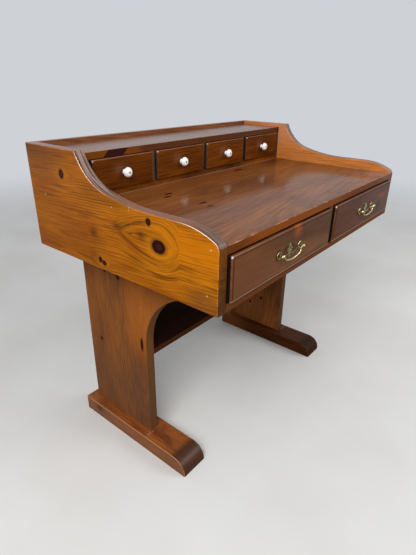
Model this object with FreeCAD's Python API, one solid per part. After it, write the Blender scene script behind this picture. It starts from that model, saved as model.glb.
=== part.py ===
import FreeCAD, Part
import math
import os

from FreeCAD import Vector

# A pine sewing desk in the Shaker manner. Two scooped sides carry a low case with two drawers, a
# writing board and a gallery of four small drawers. The case stands on two cut-out legs, each
# let into a rounded foot, with a shelf between them. Lengths are in millimetres and angles in
# degrees. X runs along the front to the sitter's right, Y from the sitter to the back and Z up.
# The origin is on the floor, under the middle of the desk and its handles.

# Case
case_width = 980.0
case_depth = 630.0
case_underside = 620.0
large_opening_height = 106.0
side_thickness = 28.0
desktop_thickness = 19.0
case_floor_thickness = 19.0
partition_thickness = 19.0
back_thickness = 16.0
back_rebate = 10.0
back_tongue = 6.0
housing_depth = 8.0
housing_stop = 25.0

# Outline of a side, from its front nose to its high back
nose_radius = 20.0
shoulder_radius = 190.0
nose_angle = 27.0
rim_rise = 31.5
easing_radius = 541.0
easing_angle = 15.0
scoop_radius = 139.0
high_part_setback = 422.0
side_edge_round = 2.5

# Gallery above the writing board
gallery_setback = 449.0
gallery_floor_thickness = 18.0
small_opening_height = 82.0
gallery_shelf_thickness = 18.0
gallery_shelf_drop = 12.0
divider_thickness = 18.0
end_stile_width = 31.0
end_stile_depth = 19.0
guide_height = 25.0
small_drawer_count = 4

# Legs, feet and lower shelf
leg_inset = 92.0
leg_thickness = 29.0
leg_front_setback = 318.0
leg_back_setback = 577.0
arch_radius = 203.0
arch_crown = 52.0
arm_reach = 38.0
leg_let_in = 6.0
tenon_thickness = 12.0
tenon_length = 22.0
tenon_inset = 40.0
foot_width = 89.0
foot_height = 49.0
foot_front_setback = 149.5
foot_back_setback = 603.0
foot_front_round = 45.0
foot_edge_round = 3.0
shelf_height = 322.0
shelf_thickness = 18.5
board_ease = 1.2

# Large drawers
large_front_thickness = 20.0
large_gap = 2.0
large_front_round = 3.6
large_field_margin = 7.0
large_side_thickness = 12.0
large_back_thickness = 12.0
large_bottom_thickness = 6.0
large_tail_length = 8.0
large_tail_count = 4
large_side_drop = 8.0

# Small drawers
small_front_thickness = 18.0
small_gap = 1.2
small_front_round = 2.5
small_side_thickness = 9.0
small_back_thickness = 9.0
small_bottom_thickness = 4.0
small_tail_length = 7.0
small_tail_count = 3
small_side_drop = 5.0

# What both sizes of drawer share
front_proud = 9.5
field_relief = 1.0
tail_share = 0.68
tail_slope_share = 1 / 6
bottom_rise = 8.0
bottom_groove = 5.0
back_housing = 4.0
back_drop = 3.0
running_clearance = 0.3
stop_depth = 24.0
stop_width = 30.0
stop_height = 26.0

# Brass pull
pull_centres = 95.0
pivot_reach = 11.0
plate_thickness = 1.6
rosette_radius = 10.0
bead_radius = 1.5
leaf_top = 19.0
leaf_bottom = -3.0
leaf_half_width = 6.0
lobe_spread = 9.0
lobe_height = 3.0
lobe_radius = 4.6
boss_drop = 5.0
boss_radius = 8.0
drop_bottom = -17.0
drop_half_width = 6.5
arm_width = 5.0
arm_sag = 5.5
arm_drop = 8.0
piercing_radius = 2.0
post_radius = 2.0
post_collar_radius = 4.8
post_collar_height = 2.2
post_neck_radius = 3.1
post_ball_radius = 4.6
nut_radius = 5.0
nut_thickness = 3.5
shank_clearance = 0.3

# Bail hung in the posts
bail_radius = 2.2
bail_pin_radius = 1.6
bail_pin_clearance = 0.1
bail_pin_entry = 2.5
bail_shoulder = 2.0
bail_shoulder_radius = 3.0
bail_corner_radius = 10.5
bail_drop = 17.7

# Porcelain knob and its screw
knob_base_radius = 7.4
knob_neck_radius = 6.0
knob_neck_height = 4.6
knob_head_radius = 13.2
knob_head_height = 11.6
knob_brow_radius = 11.2
knob_brow_height = 16.8
knob_height = 19.6
knob_seat_radius = 3.6
screw_radius = 1.8
screw_head_radius = 2.6
screw_head_height = 1.2

right_angle = 90.0
plane_tolerance = 0.02

# Planes that the pieces share
front_reach = front_proud + pivot_reach + post_ball_radius
front = front_reach - (case_depth + front_reach) / 2
back = front + case_depth
back_inner = back - back_thickness
side_inner = case_width / 2 - side_thickness
case_floor_top = case_underside + case_floor_thickness
desktop_underside = case_floor_top + large_opening_height
writing_height = desktop_underside + desktop_thickness
gallery_face = front + gallery_setback
gallery_floor_top = writing_height + gallery_floor_thickness
gallery_shelf_underside = gallery_floor_top + small_opening_height
gallery_shelf_top = gallery_shelf_underside + gallery_shelf_thickness
side_top = gallery_shelf_top + gallery_shelf_drop
rim_height = writing_height + rim_rise
leg_outer = case_width / 2 - leg_inset
leg_inner = leg_outer - leg_thickness
leg_front = front + leg_front_setback
leg_back = front + leg_back_setback

X_AXIS = Vector(1, 0, 0)
Y_AXIS = Vector(0, 1, 0)
Z_AXIS = Vector(0, 0, 1)
ORIGIN = Vector(0, 0, 0)


def block(x0, x1, y0, y1, z0, z1):
    """A square-edged piece between six planes."""
    return Part.makeBox(x1 - x0, y1 - y0, z1 - z0, Vector(x0, y0, z0))


def lies_on(edge, axis, value):
    """True where the whole edge lies in the plane that crosses the axis at the value."""
    box = edge.BoundBox
    low = {"x": box.XMin, "y": box.YMin, "z": box.ZMin}[axis]
    high = {"x": box.XMax, "y": box.YMax, "z": box.ZMax}[axis]
    return max(abs(low - value), abs(high - value)) < plane_tolerance


def eased(shape, radius, chosen):
    """The shape with each chosen edge rounded."""
    return shape.makeFillet(radius, [edge for edge in shape.Edges if chosen(edge)])


def mirrored(shape):
    """The same piece for the other end of the desk."""
    return shape.mirror(ORIGIN, X_AXIS)


def rod(radius, start, end):
    """A round bar from one point to another."""
    run = end - start
    return Part.makeCylinder(radius, run.Length, start, run)


class Outline:
    """A closed outline in the plane of Y and Z, drawn run by run like a pen stroke."""

    def __init__(self, y, z):
        self.start = Vector(0, y, z)
        self.here = self.start
        self.edges = []

    def line_to(self, y, z):
        end = Vector(0, y, z)
        self.edges.append(Part.makeLine(self.here, end))
        self.here = end

    def arc(self, radius, heading, turn):
        """An arc that starts on a heading measured from +Y and turns left by a signed angle."""
        side = math.copysign(radius, turn)

        def offset(angle):
            turned_by = math.radians(angle)
            return Vector(0, math.sin(turned_by) * side, -math.cos(turned_by) * side)

        centre = self.here - offset(heading)
        middle = centre + offset(heading + turn / 2)
        end = centre + offset(heading + turn)
        self.edges.append(Part.Arc(self.here, middle, end).toShape())
        self.here = end

    def plank(self, x0, x1):
        """The outline closed and given its thickness along X."""
        self.edges.append(Part.makeLine(self.here, self.start))
        plank = Part.Face(Part.Wire(self.edges)).extrude(X_AXIS * (x1 - x0))
        plank.translate(X_AXIS * x0)
        return plank


def turned(profile, foot, axis):
    """A turned piece. The profile's runs hold (radius, height) pairs: two make a line, three an arc."""
    edges = []
    for run in profile:
        points = [Vector(radius, 0, height) for radius, height in run]
        if len(points) == 2:
            edges.append(Part.makeLine(*points))
        else:
            edges.append(Part.Arc(*points).toShape())
    piece = Part.Face(Part.Wire(edges)).revolve(ORIGIN, Z_AXIS, 4 * right_angle)
    piece.Placement = FreeCAD.Placement(foot, FreeCAD.Rotation(Z_AXIS, axis))
    return piece


def upright(x0, x1, y0, y1, z0, z1):
    """A standing board with its two front corners eased."""
    board = block(x0, x1, y0, y1, z0, z1)

    def up_the_front(edge):
        at_an_end = lies_on(edge, "z", z0) or lies_on(edge, "z", z1)
        return lies_on(edge, "y", y0) and not at_an_end

    return eased(board, board_ease, up_the_front)


def housed_board(half_span, y0, y1, z0, z1):
    """A board let into housings at both ends, with notched front corners that hide the housings."""
    board = block(-half_span, half_span, y0, y1, z0, z1)
    reach = half_span + housing_depth
    tongue = block(-reach, reach, y0 + housing_stop, y1, z0, z1)
    whole = board.fuse(tongue).removeSplitter()

    def along_front(edge):
        at_an_end = lies_on(edge, "x", half_span) or lies_on(edge, "x", -half_span)
        return lies_on(edge, "y", y0) and not at_an_end

    return eased(whole, board_ease, along_front)


def scooped_side():
    """The left side: a low nosed rim that sweeps up in a scoop to the high back."""
    rise_at_easing = easing_radius * (1 - math.cos(math.radians(easing_angle)))
    scoop_rise = side_top - rim_height - rise_at_easing
    scoop_cosine = math.cos(math.radians(easing_angle)) - scoop_rise / scoop_radius
    scoop_angle = math.degrees(math.acos(scoop_cosine))
    scoop_run = scoop_radius * (math.sin(math.radians(scoop_angle)) - math.sin(math.radians(easing_angle)))
    easing_run = easing_radius * math.sin(math.radians(easing_angle))
    nose_rise = nose_radius * math.cos(math.radians(nose_angle))
    shoulder_rise = shoulder_radius * (1 - math.cos(math.radians(nose_angle)))
    outline = Outline(front, case_underside)
    outline.line_to(front, rim_height - shoulder_rise - nose_rise)
    outline.arc(nose_radius, right_angle, nose_angle - right_angle)
    outline.arc(shoulder_radius, nose_angle, -nose_angle)
    outline.line_to(front + high_part_setback - scoop_run - easing_run, rim_height)
    outline.arc(easing_radius, 0, easing_angle)
    outline.arc(scoop_radius, easing_angle, scoop_angle - easing_angle)
    outline.line_to(back, side_top)
    outline.line_to(back, case_underside)
    outer = -case_width / 2
    side = outline.plank(outer, -side_inner)

    def around_faces(edge):
        inside = lies_on(edge, "x", -side_inner) and not lies_on(edge, "y", back)
        return lies_on(edge, "x", outer) or inside

    side = eased(side, side_edge_round, around_faces)
    rebate = block(-side_inner - back_rebate, -side_inner, back_inner, back, case_underside, side_top)
    return side.cut(rebate)


def back_board(z0, z1):
    """One of the two wide boards that close the back, without its joint."""
    reach = side_inner + back_rebate
    return block(-reach, reach, back_inner, back, z0, z1)


def back_boards():
    """The lower and upper back boards, joined by a tongue in a groove behind the writing board."""
    seam = (desktop_underside + writing_height) / 2
    third = back_thickness / 3
    reach = side_inner + back_rebate
    tongue = block(-reach, reach, back_inner + third, back - third, seam, seam + back_tongue)
    lower = back_board(case_underside, seam).fuse(tongue).removeSplitter()
    upper = back_board(seam, side_top).cut(tongue)
    return lower, upper


def leg_blank():
    """The left leg: an upright board whose front is cut away by a quarter-round arch under its arm."""
    arm_underside = case_underside - arch_crown
    arm_front = leg_front - arch_radius - arm_reach
    outline = Outline(leg_back, foot_height)
    outline.line_to(leg_back, case_underside)
    outline.line_to(arm_front, case_underside)
    outline.line_to(arm_front, arm_underside)
    outline.line_to(leg_front - arch_radius, arm_underside)
    outline.arc(arch_radius, 0, -right_angle)
    outline.line_to(leg_front, foot_height)
    leg = outline.plank(-leg_outer, -leg_inner)

    def around_faces(edge):
        at_a_joint = lies_on(edge, "z", case_underside) or lies_on(edge, "z", foot_height)
        return (lies_on(edge, "x", -leg_outer) or lies_on(edge, "x", -leg_inner)) and not at_a_joint

    return eased(leg, board_ease, around_faces)


def left_leg():
    """The leg with its top let into the case floor and a tenon for the foot."""
    arm_front = leg_front - arch_radius - arm_reach
    let_in = block(-leg_outer, -leg_inner, arm_front, leg_back, case_underside, case_underside + leg_let_in)
    middle = -(leg_outer + leg_inner) / 2
    tenon = block(middle - tenon_thickness / 2, middle + tenon_thickness / 2, leg_front + tenon_inset,
                  leg_back - tenon_inset, foot_height - tenon_length, foot_height)
    return leg_blank().fuse([let_in, tenon]).removeSplitter()


def left_foot():
    """The foot: a square rail on the floor with a rounded front end."""
    y0 = front + foot_front_setback
    y1 = front + foot_back_setback
    middle = (leg_outer + leg_inner) / 2
    x0 = -middle - foot_width / 2
    x1 = -middle + foot_width / 2
    outline = Outline(y0, 0)
    outline.line_to(y0, foot_height - foot_front_round)
    outline.arc(foot_front_round, right_angle, -right_angle)
    outline.line_to(y1, foot_height)
    outline.line_to(y1, 0)
    foot = outline.plank(x0, x1)

    def above_sole(edge):
        return (lies_on(edge, "x", x0) or lies_on(edge, "x", x1)) and not lies_on(edge, "z", 0)

    return eased(foot, foot_edge_round, above_sole)


class Drawer:
    """The planes of one drawer, worked out from the opening that it fills."""

    def __init__(self, opening, face, gap, front_thickness, edge_round, field_margin, side_thickness,
                 back_thickness, bottom_thickness, tail_length, tail_count, side_drop):
        left, right, floor, top = opening
        self.x0 = left + gap
        self.x1 = right - gap
        self.z0 = floor + gap
        self.z1 = top - gap
        self.middle = Vector((left + right) / 2, face - front_proud, (floor + top) / 2)
        self.face = face - front_proud
        self.front_back = self.face + front_thickness
        self.end = back_inner - stop_depth - running_clearance
        self.side_z0 = floor + running_clearance
        self.side_z1 = top - side_drop
        self.edge_round = edge_round
        self.field_margin = field_margin
        self.side_thickness = side_thickness
        self.back_thickness = back_thickness
        self.bottom_thickness = bottom_thickness
        self.tail_length = tail_length
        self.tail_count = tail_count

    def bottom(self):
        """The thin bottom, in grooves on three edges and under the back."""
        inset = self.side_thickness - bottom_groove
        z0 = self.side_z0 + bottom_rise
        return block(self.x0 + inset, self.x1 - inset, self.front_back - bottom_groove, self.end,
                     z0, z0 + self.bottom_thickness)

    def back(self):
        """The back, standing on the bottom and let into both sides."""
        inset = self.side_thickness - back_housing
        z0 = self.side_z0 + bottom_rise + self.bottom_thickness
        return block(self.x0 + inset, self.x1 - inset, self.end - self.back_thickness, self.end,
                     z0, self.side_z1 - back_drop)

    def tails(self, x0, x1):
        """The dovetail tails of one side, flared towards the front."""
        pitch = (self.side_z1 - self.z0) / self.tail_count
        tip = pitch * tail_share / 2
        root = tip - self.tail_length * tail_slope_share
        y_root = self.front_back
        y_tip = self.front_back - self.tail_length
        tails = []
        for number in range(self.tail_count):
            z = self.z0 + pitch * (number + 1 / 2)
            tail = Outline(y_root, z - root)
            tail.line_to(y_root, z + root)
            tail.line_to(y_tip, z + tip)
            tail.line_to(y_tip, z - tip)
            tails.append(tail.plank(x0, x1))
        return tails

    def sides(self):
        """Both sides, grooved for the bottom, housed for the back and tailed at the front."""
        sides = []
        for x0, x1 in ((self.x0, self.x0 + self.side_thickness), (self.x1 - self.side_thickness, self.x1)):
            side = block(x0, x1, self.front_back, self.end, self.side_z0, self.side_z1)
            side = side.fuse(self.tails(x0, x1)).removeSplitter()
            sides.append(side.cut([self.bottom(), self.back()]))
        return sides

    def front(self, holes):
        """The front: a slab with rounded edges, moulded to a raised field if it has a margin for one."""
        margin = self.field_margin
        slab_face = self.face
        if margin:
            slab_face = self.face + field_relief
        slab = block(self.x0, self.x1, slab_face, self.front_back, self.z0, self.z1)

        def outer(edge):
            return lies_on(edge, "y", slab_face) or edge.BoundBox.YLength > self.edge_round

        whole = eased(slab, self.edge_round, outer)
        if margin:
            field = block(self.x0 + margin, self.x1 - margin, self.face, self.front_back,
                          self.z0 + margin, self.z1 - margin)
            whole = whole.fuse(field).removeSplitter()
        sockets = self.tails(self.x0, self.x0 + self.side_thickness)
        sockets += self.tails(self.x1 - self.side_thickness, self.x1)
        return whole.cut(sockets + [self.bottom()] + holes)

    def hole(self, x, z, radius):
        """The path of a shank through the front."""
        return rod(radius, Vector(x, self.face, z), Vector(x, self.front_back, z))


def large_drawer(opening):
    return Drawer(opening, front, large_gap, large_front_thickness, large_front_round,
                  large_field_margin, large_side_thickness, large_back_thickness, large_bottom_thickness,
                  large_tail_length, large_tail_count, large_side_drop)


def small_drawer(opening):
    return Drawer(opening, gallery_face, small_gap, small_front_thickness, small_front_round,
                  0, small_side_thickness, small_back_thickness, small_bottom_thickness,
                  small_tail_length, small_tail_count, small_side_drop)


def stop_block(x_middle, floor):
    """A glued block at the back of the case, where a drawer comes to rest."""
    return block(x_middle - stop_width / 2, x_middle + stop_width / 2, back_inner - stop_depth, back_inner,
                 floor, floor + stop_height)


class Pull:
    """One brass pull, drawn about its middle on the face of a drawer, with -Y outwards."""

    def __init__(self, drawer):
        self.middle = drawer.middle
        self.plate_face = -plate_thickness
        self.inside = drawer.front_back - drawer.face

    def place(self, shape):
        shape.translate(self.middle)
        return shape

    def lens(self, half_width, z0, z1):
        """A pointed oval blank as thick as the plate, upright in the middle of the pull."""
        top = Vector(0, 0, z1)
        bottom = Vector(0, 0, z0)
        middle = (z0 + z1) / 2
        right = Part.Arc(bottom, Vector(half_width, 0, middle), top).toShape()
        left = Part.Arc(top, Vector(-half_width, 0, middle), bottom).toShape()
        return Part.Face(Part.Wire([right, left])).extrude(Y_AXIS * -plate_thickness)

    def disc(self, radius, x, z):
        return Part.makeCylinder(radius, plate_thickness, Vector(x, 0, z), -Y_AXIS)

    def arm(self, side):
        """A curved arm of the plate that swings down from a rosette to the boss."""
        half = arm_width / 2
        outer_x = side * (pull_centres / 2 - rosette_radius + half)
        inner_x = side * boss_radius / 2
        middle_x = (outer_x + inner_x) / 2

        def curve(shift):
            start = Vector(outer_x, 0, shift)
            middle = Vector(middle_x, 0, shift - arm_drop / 2 - arm_sag)
            end = Vector(inner_x, 0, shift - arm_drop)
            return start, middle, end

        upper = curve(half)
        lower = curve(-half)
        edges = [Part.Arc(*upper).toShape(), Part.makeLine(upper[2], lower[2]),
                 Part.Arc(*reversed(lower)).toShape(), Part.makeLine(lower[0], upper[0])]
        return Part.Face(Part.Wire(edges)).extrude(Y_AXIS * -plate_thickness)

    def plate(self):
        """The openwork plate: two rosettes, a leaf, a boss and a drop, joined by swinging arms."""
        blanks = [self.lens(leaf_half_width, leaf_bottom, leaf_top), self.disc(boss_radius, 0, -boss_drop),
                  self.lens(drop_half_width, drop_bottom, -boss_drop)]
        piercings = [self.disc(piercing_radius, 0, -boss_drop), self.disc(piercing_radius, 0, leaf_top / 3)]
        for side in (-1, 1):
            x = side * pull_centres / 2
            blanks.append(self.disc(rosette_radius, x, 0))
            blanks.append(self.disc(lobe_radius, side * lobe_spread, lobe_height))
            blanks.append(self.arm(side))
            ring_radius = rosette_radius - bead_radius
            blanks.append(Part.makeTorus(ring_radius, bead_radius, Vector(x, self.plate_face, 0), Y_AXIS))
            piercings.append(self.disc(piercing_radius, side * lobe_spread, lobe_height))
            piercings.append(self.disc(post_radius + shank_clearance, x, 0))
        plate = blanks[0].fuse(blanks[1:]).removeSplitter().cut(piercings)
        return self.place(plate)

    def post(self, x):
        """A turned post: a shank through the drawer front, a collar, a neck and a ball with a cross bore."""
        collar_end = plate_thickness + post_collar_height
        base = -self.inside - nut_thickness
        neck_end = pivot_reach - math.sqrt(post_ball_radius ** 2 - post_neck_radius ** 2)
        ball_tip = pivot_reach + post_ball_radius
        profile = [
            [(0, base), (post_radius, base)],
            [(post_radius, base), (post_radius, plate_thickness)],
            [(post_radius, plate_thickness), (post_collar_radius, plate_thickness)],
            [(post_collar_radius, plate_thickness), (post_neck_radius, collar_end)],
            [(post_neck_radius, collar_end), (post_neck_radius, neck_end)],
            [(post_neck_radius, neck_end), (post_ball_radius, pivot_reach), (0, ball_tip)],
            [(0, ball_tip), (0, base)],
        ]
        post = turned(profile, Vector(x, 0, 0), -Y_AXIS)
        bore = bail_pin_radius + bail_pin_clearance
        return post.cut(rod(bore, Vector(x - rosette_radius, -pivot_reach, 0),
                            Vector(x + rosette_radius, -pivot_reach, 0)))

    def nut(self, x):
        """The round nut that draws a post tight from inside the drawer."""
        start = Vector(x, self.inside, 0)
        end = Vector(x, self.inside + nut_thickness, 0)
        return rod(nut_radius, start, end).cut(rod(post_radius, start, end))

    def posts(self):
        pieces = []
        for x in (-pull_centres / 2, pull_centres / 2):
            pieces += [self.place(self.post(x)), self.place(self.nut(x))]
        return pieces

    def bail(self):
        """The hanging handle: a bar swept through tangent arcs, with a thin pin at each end."""
        shoulder_x = pull_centres / 2 - post_ball_radius - bail_shoulder
        arm_x = shoulder_x - bail_shoulder_radius
        corner_x = arm_x - bail_corner_radius
        depth = bail_drop - bail_shoulder_radius
        squares = corner_x ** 2 + depth ** 2 - bail_corner_radius ** 2
        bottom_radius = squares / (2 * (depth - bail_corner_radius))
        bottom_centre = Vector(0, 0, bottom_radius - bail_drop)
        corner_centre = Vector(corner_x, 0, -bail_shoulder_radius)
        run = corner_centre - bottom_centre
        meeting = bottom_centre + run * (bottom_radius / run.Length)
        corner_middle = (meeting + Vector(arm_x, 0, -bail_shoulder_radius)) / 2 - corner_centre
        corner_middle = corner_centre + corner_middle * (bail_corner_radius / corner_middle.Length)
        half_turn = bail_shoulder_radius * math.sqrt(1 / 2)
        shoulder_middle = Vector(shoulder_x - half_turn, 0, half_turn - bail_shoulder_radius)

        def other(point):
            return Vector(-point.x, 0, point.z)

        shoulder = Vector(shoulder_x, 0, 0)
        arm_top = Vector(arm_x, 0, -bail_shoulder_radius)
        lowest = Vector(0, 0, -bail_drop)
        path = Part.Wire([
            Part.Arc(shoulder, shoulder_middle, arm_top).toShape(),
            Part.Arc(arm_top, corner_middle, meeting).toShape(),
            Part.Arc(meeting, lowest, other(meeting)).toShape(),
            Part.Arc(other(meeting), other(corner_middle), other(arm_top)).toShape(),
            Part.Arc(other(arm_top), other(shoulder_middle), other(shoulder)).toShape(),
        ])
        section = Part.Wire([Part.makeCircle(bail_radius, shoulder, X_AXIS)])
        bar = path.makePipeShell([section], True, False)
        pin_end = Vector(pull_centres / 2 + bail_pin_entry, 0, 0)
        bail = bar.fuse([rod(bail_pin_radius, shoulder, pin_end),
                         rod(bail_pin_radius, other(shoulder), other(pin_end))])
        bail.translate(Y_AXIS * -pivot_reach)
        return self.place(bail)


def knob(drawer):
    """A turned knob with a flared neck, a domed head and a hole for its screw."""
    flare = knob_head_radius - knob_neck_radius
    profile = [
        [(screw_radius, 0), (knob_base_radius, 0)],
        [(knob_base_radius, 0), ((knob_base_radius + knob_neck_radius) / 2, knob_neck_height / 3),
         (knob_neck_radius, knob_neck_height)],
        [(knob_neck_radius, knob_neck_height),
         (knob_neck_radius + flare / 4, (knob_neck_height + knob_head_height) / 2),
         (knob_head_radius, knob_head_height)],
        [(knob_head_radius, knob_head_height), (knob_brow_radius, knob_brow_height),
         (knob_seat_radius, knob_height)],
        [(knob_seat_radius, knob_height), (screw_radius, knob_height)],
        [(screw_radius, knob_height), (screw_radius, 0)],
    ]
    return turned(profile, drawer.middle, -Y_AXIS)


def knob_screw(drawer):
    """A round-headed screw through the knob and the drawer front, with its nut inside the drawer."""
    inside = drawer.front_back - drawer.face
    base = -inside - nut_thickness
    tip = knob_height + screw_head_height
    brow = knob_height + screw_head_height / 2
    profile = [
        [(0, base), (screw_radius, base)],
        [(screw_radius, base), (screw_radius, knob_height)],
        [(screw_radius, knob_height), (screw_head_radius, knob_height)],
        [(screw_head_radius, knob_height), (screw_head_radius, brow)],
        [(screw_head_radius, brow), (0, tip)],
        [(0, tip), (0, base)],
    ]
    screw = turned(profile, drawer.middle, -Y_AXIS)
    start = drawer.middle + Y_AXIS * inside
    end = start + Y_AXIS * nut_thickness
    nut = rod(nut_radius, start, end).cut(rod(screw_radius, start, end))
    return [screw, nut]


def add_drawer(pieces, name, drawer, holes):
    """The wooden pieces that every drawer has."""
    pieces[name + "_front"] = [drawer.front(holes)]
    pieces[name + "_sides"] = drawer.sides()
    pieces[name + "_back"] = [drawer.back()]
    pieces[name + "_bottom"] = [drawer.bottom()]


def case_pieces():
    desktop = housed_board(side_inner, front, back_inner, desktop_underside, writing_height)
    case_floor = housed_board(side_inner, front, back_inner, case_underside, case_floor_top)
    shelf = housed_board(side_inner, gallery_face, back_inner, gallery_shelf_underside, gallery_shelf_top)
    lower_shelf = housed_board(leg_inner, leg_front, leg_back, shelf_height, shelf_height + shelf_thickness)
    side = scooped_side()
    leg = left_leg()
    lower_back, upper_back = back_boards()
    half = partition_thickness / 2
    gallery_floor = block(-side_inner, side_inner, gallery_face, back_inner,
                          writing_height, gallery_floor_top)

    def above_the_board(edge):
        return lies_on(edge, "y", gallery_face) and lies_on(edge, "z", gallery_floor_top)

    return {
        "left_side": [side.cut([desktop, case_floor, shelf])],
        "right_side": [mirrored(side).cut([desktop, case_floor, shelf])],
        "desktop": [desktop],
        "case_floor": [case_floor.cut([leg, mirrored(leg)])],
        "gallery_shelf": [shelf],
        "gallery_floor": [eased(gallery_floor, board_ease, above_the_board)],
        "lower_back_board": [lower_back],
        "upper_back_board": [upper_back],
        "centre_partition": [upright(-half, half, front, back_inner, case_floor_top, desktop_underside)],
        "left_leg": [leg.cut(lower_shelf)],
        "right_leg": [mirrored(leg).cut(lower_shelf)],
        "left_foot": [left_foot().cut(leg)],
        "right_foot": [mirrored(left_foot().cut(leg))],
        "lower_shelf": [lower_shelf],
    }


def gallery_pieces(openings):
    """The uprights between the small drawers, the stiles at both ends and the guides behind them."""
    pieces = {}
    for number in range(1, len(openings)):
        left = openings[number - 1][1]
        pieces[f"gallery_divider_{number}"] = [
            upright(left, left + divider_thickness, gallery_face, back_inner,
                    gallery_floor_top, gallery_shelf_underside)]
    stile_back = gallery_face + end_stile_depth
    stile = upright(-side_inner, -side_inner + end_stile_width, gallery_face, stile_back,
                    gallery_floor_top, gallery_shelf_underside)
    guide = block(-side_inner, -side_inner + end_stile_width, stile_back, back_inner,
                  gallery_floor_top, gallery_floor_top + guide_height)
    pieces["left_end_stile"] = [stile]
    pieces["right_end_stile"] = [mirrored(stile)]
    pieces["small_drawer_guides"] = [guide, mirrored(guide)]
    return pieces


def build():
    pieces = case_pieces()
    large_openings = [(-side_inner, -partition_thickness / 2), (partition_thickness / 2, side_inner)]
    large_stops = []
    for name, (left, right) in zip(("left_drawer", "right_drawer"), large_openings):
        drawer = large_drawer((left, right, case_floor_top, desktop_underside))
        pull = Pull(drawer)
        half = pull_centres / 2
        holes = [drawer.hole(drawer.middle.x + x, drawer.middle.z, post_radius + shank_clearance)
                 for x in (-half, half)]
        add_drawer(pieces, name, drawer, holes)
        pieces[name + "_pull_plate"] = [pull.plate()]
        pieces[name + "_pull_posts"] = pull.posts()
        pieces[name + "_bail"] = [pull.bail()]
        large_stops += [stop_block(x, case_floor_top) for x in (left + stop_width, right - stop_width)]
    pieces["large_drawer_stops"] = large_stops

    width = 2 * (side_inner - end_stile_width) - (small_drawer_count - 1) * divider_thickness
    opening_width = width / small_drawer_count
    small_openings = []
    for number in range(small_drawer_count):
        left = -side_inner + end_stile_width + number * (opening_width + divider_thickness)
        small_openings.append((left, left + opening_width))
    pieces.update(gallery_pieces(small_openings))
    small_stops = []
    for number, (left, right) in enumerate(small_openings, 1):
        drawer = small_drawer((left, right, gallery_floor_top, gallery_shelf_underside))
        name = f"small_drawer_{number}"
        add_drawer(pieces, name, drawer, [drawer.hole(drawer.middle.x, drawer.middle.z, screw_radius)])
        pieces[name + "_knob"] = [knob(drawer)]
        pieces[name + "_screw"] = knob_screw(drawer)
        small_stops.append(stop_block((left + right) / 2, gallery_floor_top))
    pieces["small_drawer_stops"] = small_stops
    return pieces


os.makedirs("parts", exist_ok=True)
for name, solids in build().items():
    shape = solids[0] if len(solids) == 1 else Part.makeCompound(solids)
    shape.exportStep(os.path.join("parts", name + ".step"))
    print(f"{name}: {len(shape.Solids)} solid(s), {shape.Volume / 1000:.1f} cm3, valid {shape.isValid()}")
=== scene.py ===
# %% [markdown]
# # A pine sewing desk: finish, light and camera
# The desk's pieces come from its construction model, each at its real size and in its real place.
# This script gives every piece the finish of the real one: stained knotty pine under a gloss
# varnish, old brass, white porcelain. It also sets the floor, the lamps and the camera.
# The frame is in metres: X runs to the sitter's right, Y from the sitter to the back, Z up.

# %% The frame
import math
import bpy
from mathutils import Matrix, Vector


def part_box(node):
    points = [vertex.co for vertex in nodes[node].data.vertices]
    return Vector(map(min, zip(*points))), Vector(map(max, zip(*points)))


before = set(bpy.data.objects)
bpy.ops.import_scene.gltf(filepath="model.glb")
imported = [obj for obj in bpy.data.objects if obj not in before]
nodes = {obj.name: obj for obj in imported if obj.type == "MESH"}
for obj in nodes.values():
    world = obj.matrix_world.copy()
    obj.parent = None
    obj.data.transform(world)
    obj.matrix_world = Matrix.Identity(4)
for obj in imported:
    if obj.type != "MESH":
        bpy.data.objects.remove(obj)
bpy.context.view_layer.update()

# %% [markdown]
# ## The camera
# A photograph of straight boards says where it was taken from. The place and the three angles
# below were fitted to the desk's straight edges, so the render lines up with the photograph.
# The camera stands near the left front corner, at a standing person's chest, and looks down.

# %% Camera
camera_place = Vector((-1.0597, -0.7358, 1.0446))
camera_turn = math.radians(51.17)
camera_dip = math.radians(25.17)
camera_roll = math.radians(0.95)
focal_share = 420.88 / 555


def aim(turn, dip, roll):
    """The rotation of a camera that looks along +Y, turned to the right, dipped and rolled."""
    ahead = Vector((math.sin(turn) * math.cos(dip), math.cos(turn) * math.cos(dip), -math.sin(dip)))
    level = Vector((math.cos(turn), -math.sin(turn), 0))
    up = level.cross(ahead)
    right = level * math.cos(roll) + up * math.sin(roll)
    top = up * math.cos(roll) - level * math.sin(roll)
    return Matrix((right, top, -ahead)).transposed()


camera_data = bpy.data.cameras.new("camera")
camera_data.sensor_width = 36
camera_data.lens = camera_data.sensor_width * focal_share
camera = bpy.data.objects.new("camera", camera_data)
camera.matrix_world = Matrix.Translation(camera_place) @ aim(camera_turn, camera_dip, camera_roll).to_4x4()
bpy.context.scene.collection.objects.link(camera)
bpy.context.scene.camera = camera
bpy.context.scene.view_settings.view_transform = "Standard"
print(f"camera with a {camera_data.lens:.1f} mm lens")

# %% [markdown]
# ## Writing a shader as a formula
# A wood shader is mostly arithmetic: distances, ring counts, masks. Linking Math nodes by hand
# hides that arithmetic. A small class wraps a node's output and lends it the usual operators, so
# `1 - mask` adds the right node by itself. Every other node comes from one method, `add`.


# %% Colours
def colour(red, green, blue):
    """A colour written as on a screen, 0 to 255, turned into the linear values that shaders use."""
    def linear(value):
        share = value / 255
        return share / 12.92 if share <= 0.04045 else ((share + 0.055) / 1.055) ** 2.4
    return (linear(red), linear(green), linear(blue), 1.0)


print("a mid grey is", round(colour(128, 128, 128)[0], 3), "in linear light")

# %% The wrapped socket
# A Mix node has sockets for numbers, vectors and colours; these are the numbers of its colours.
mix_share, mix_under, mix_over, mix_result = 0, 6, 7, 2


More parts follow.
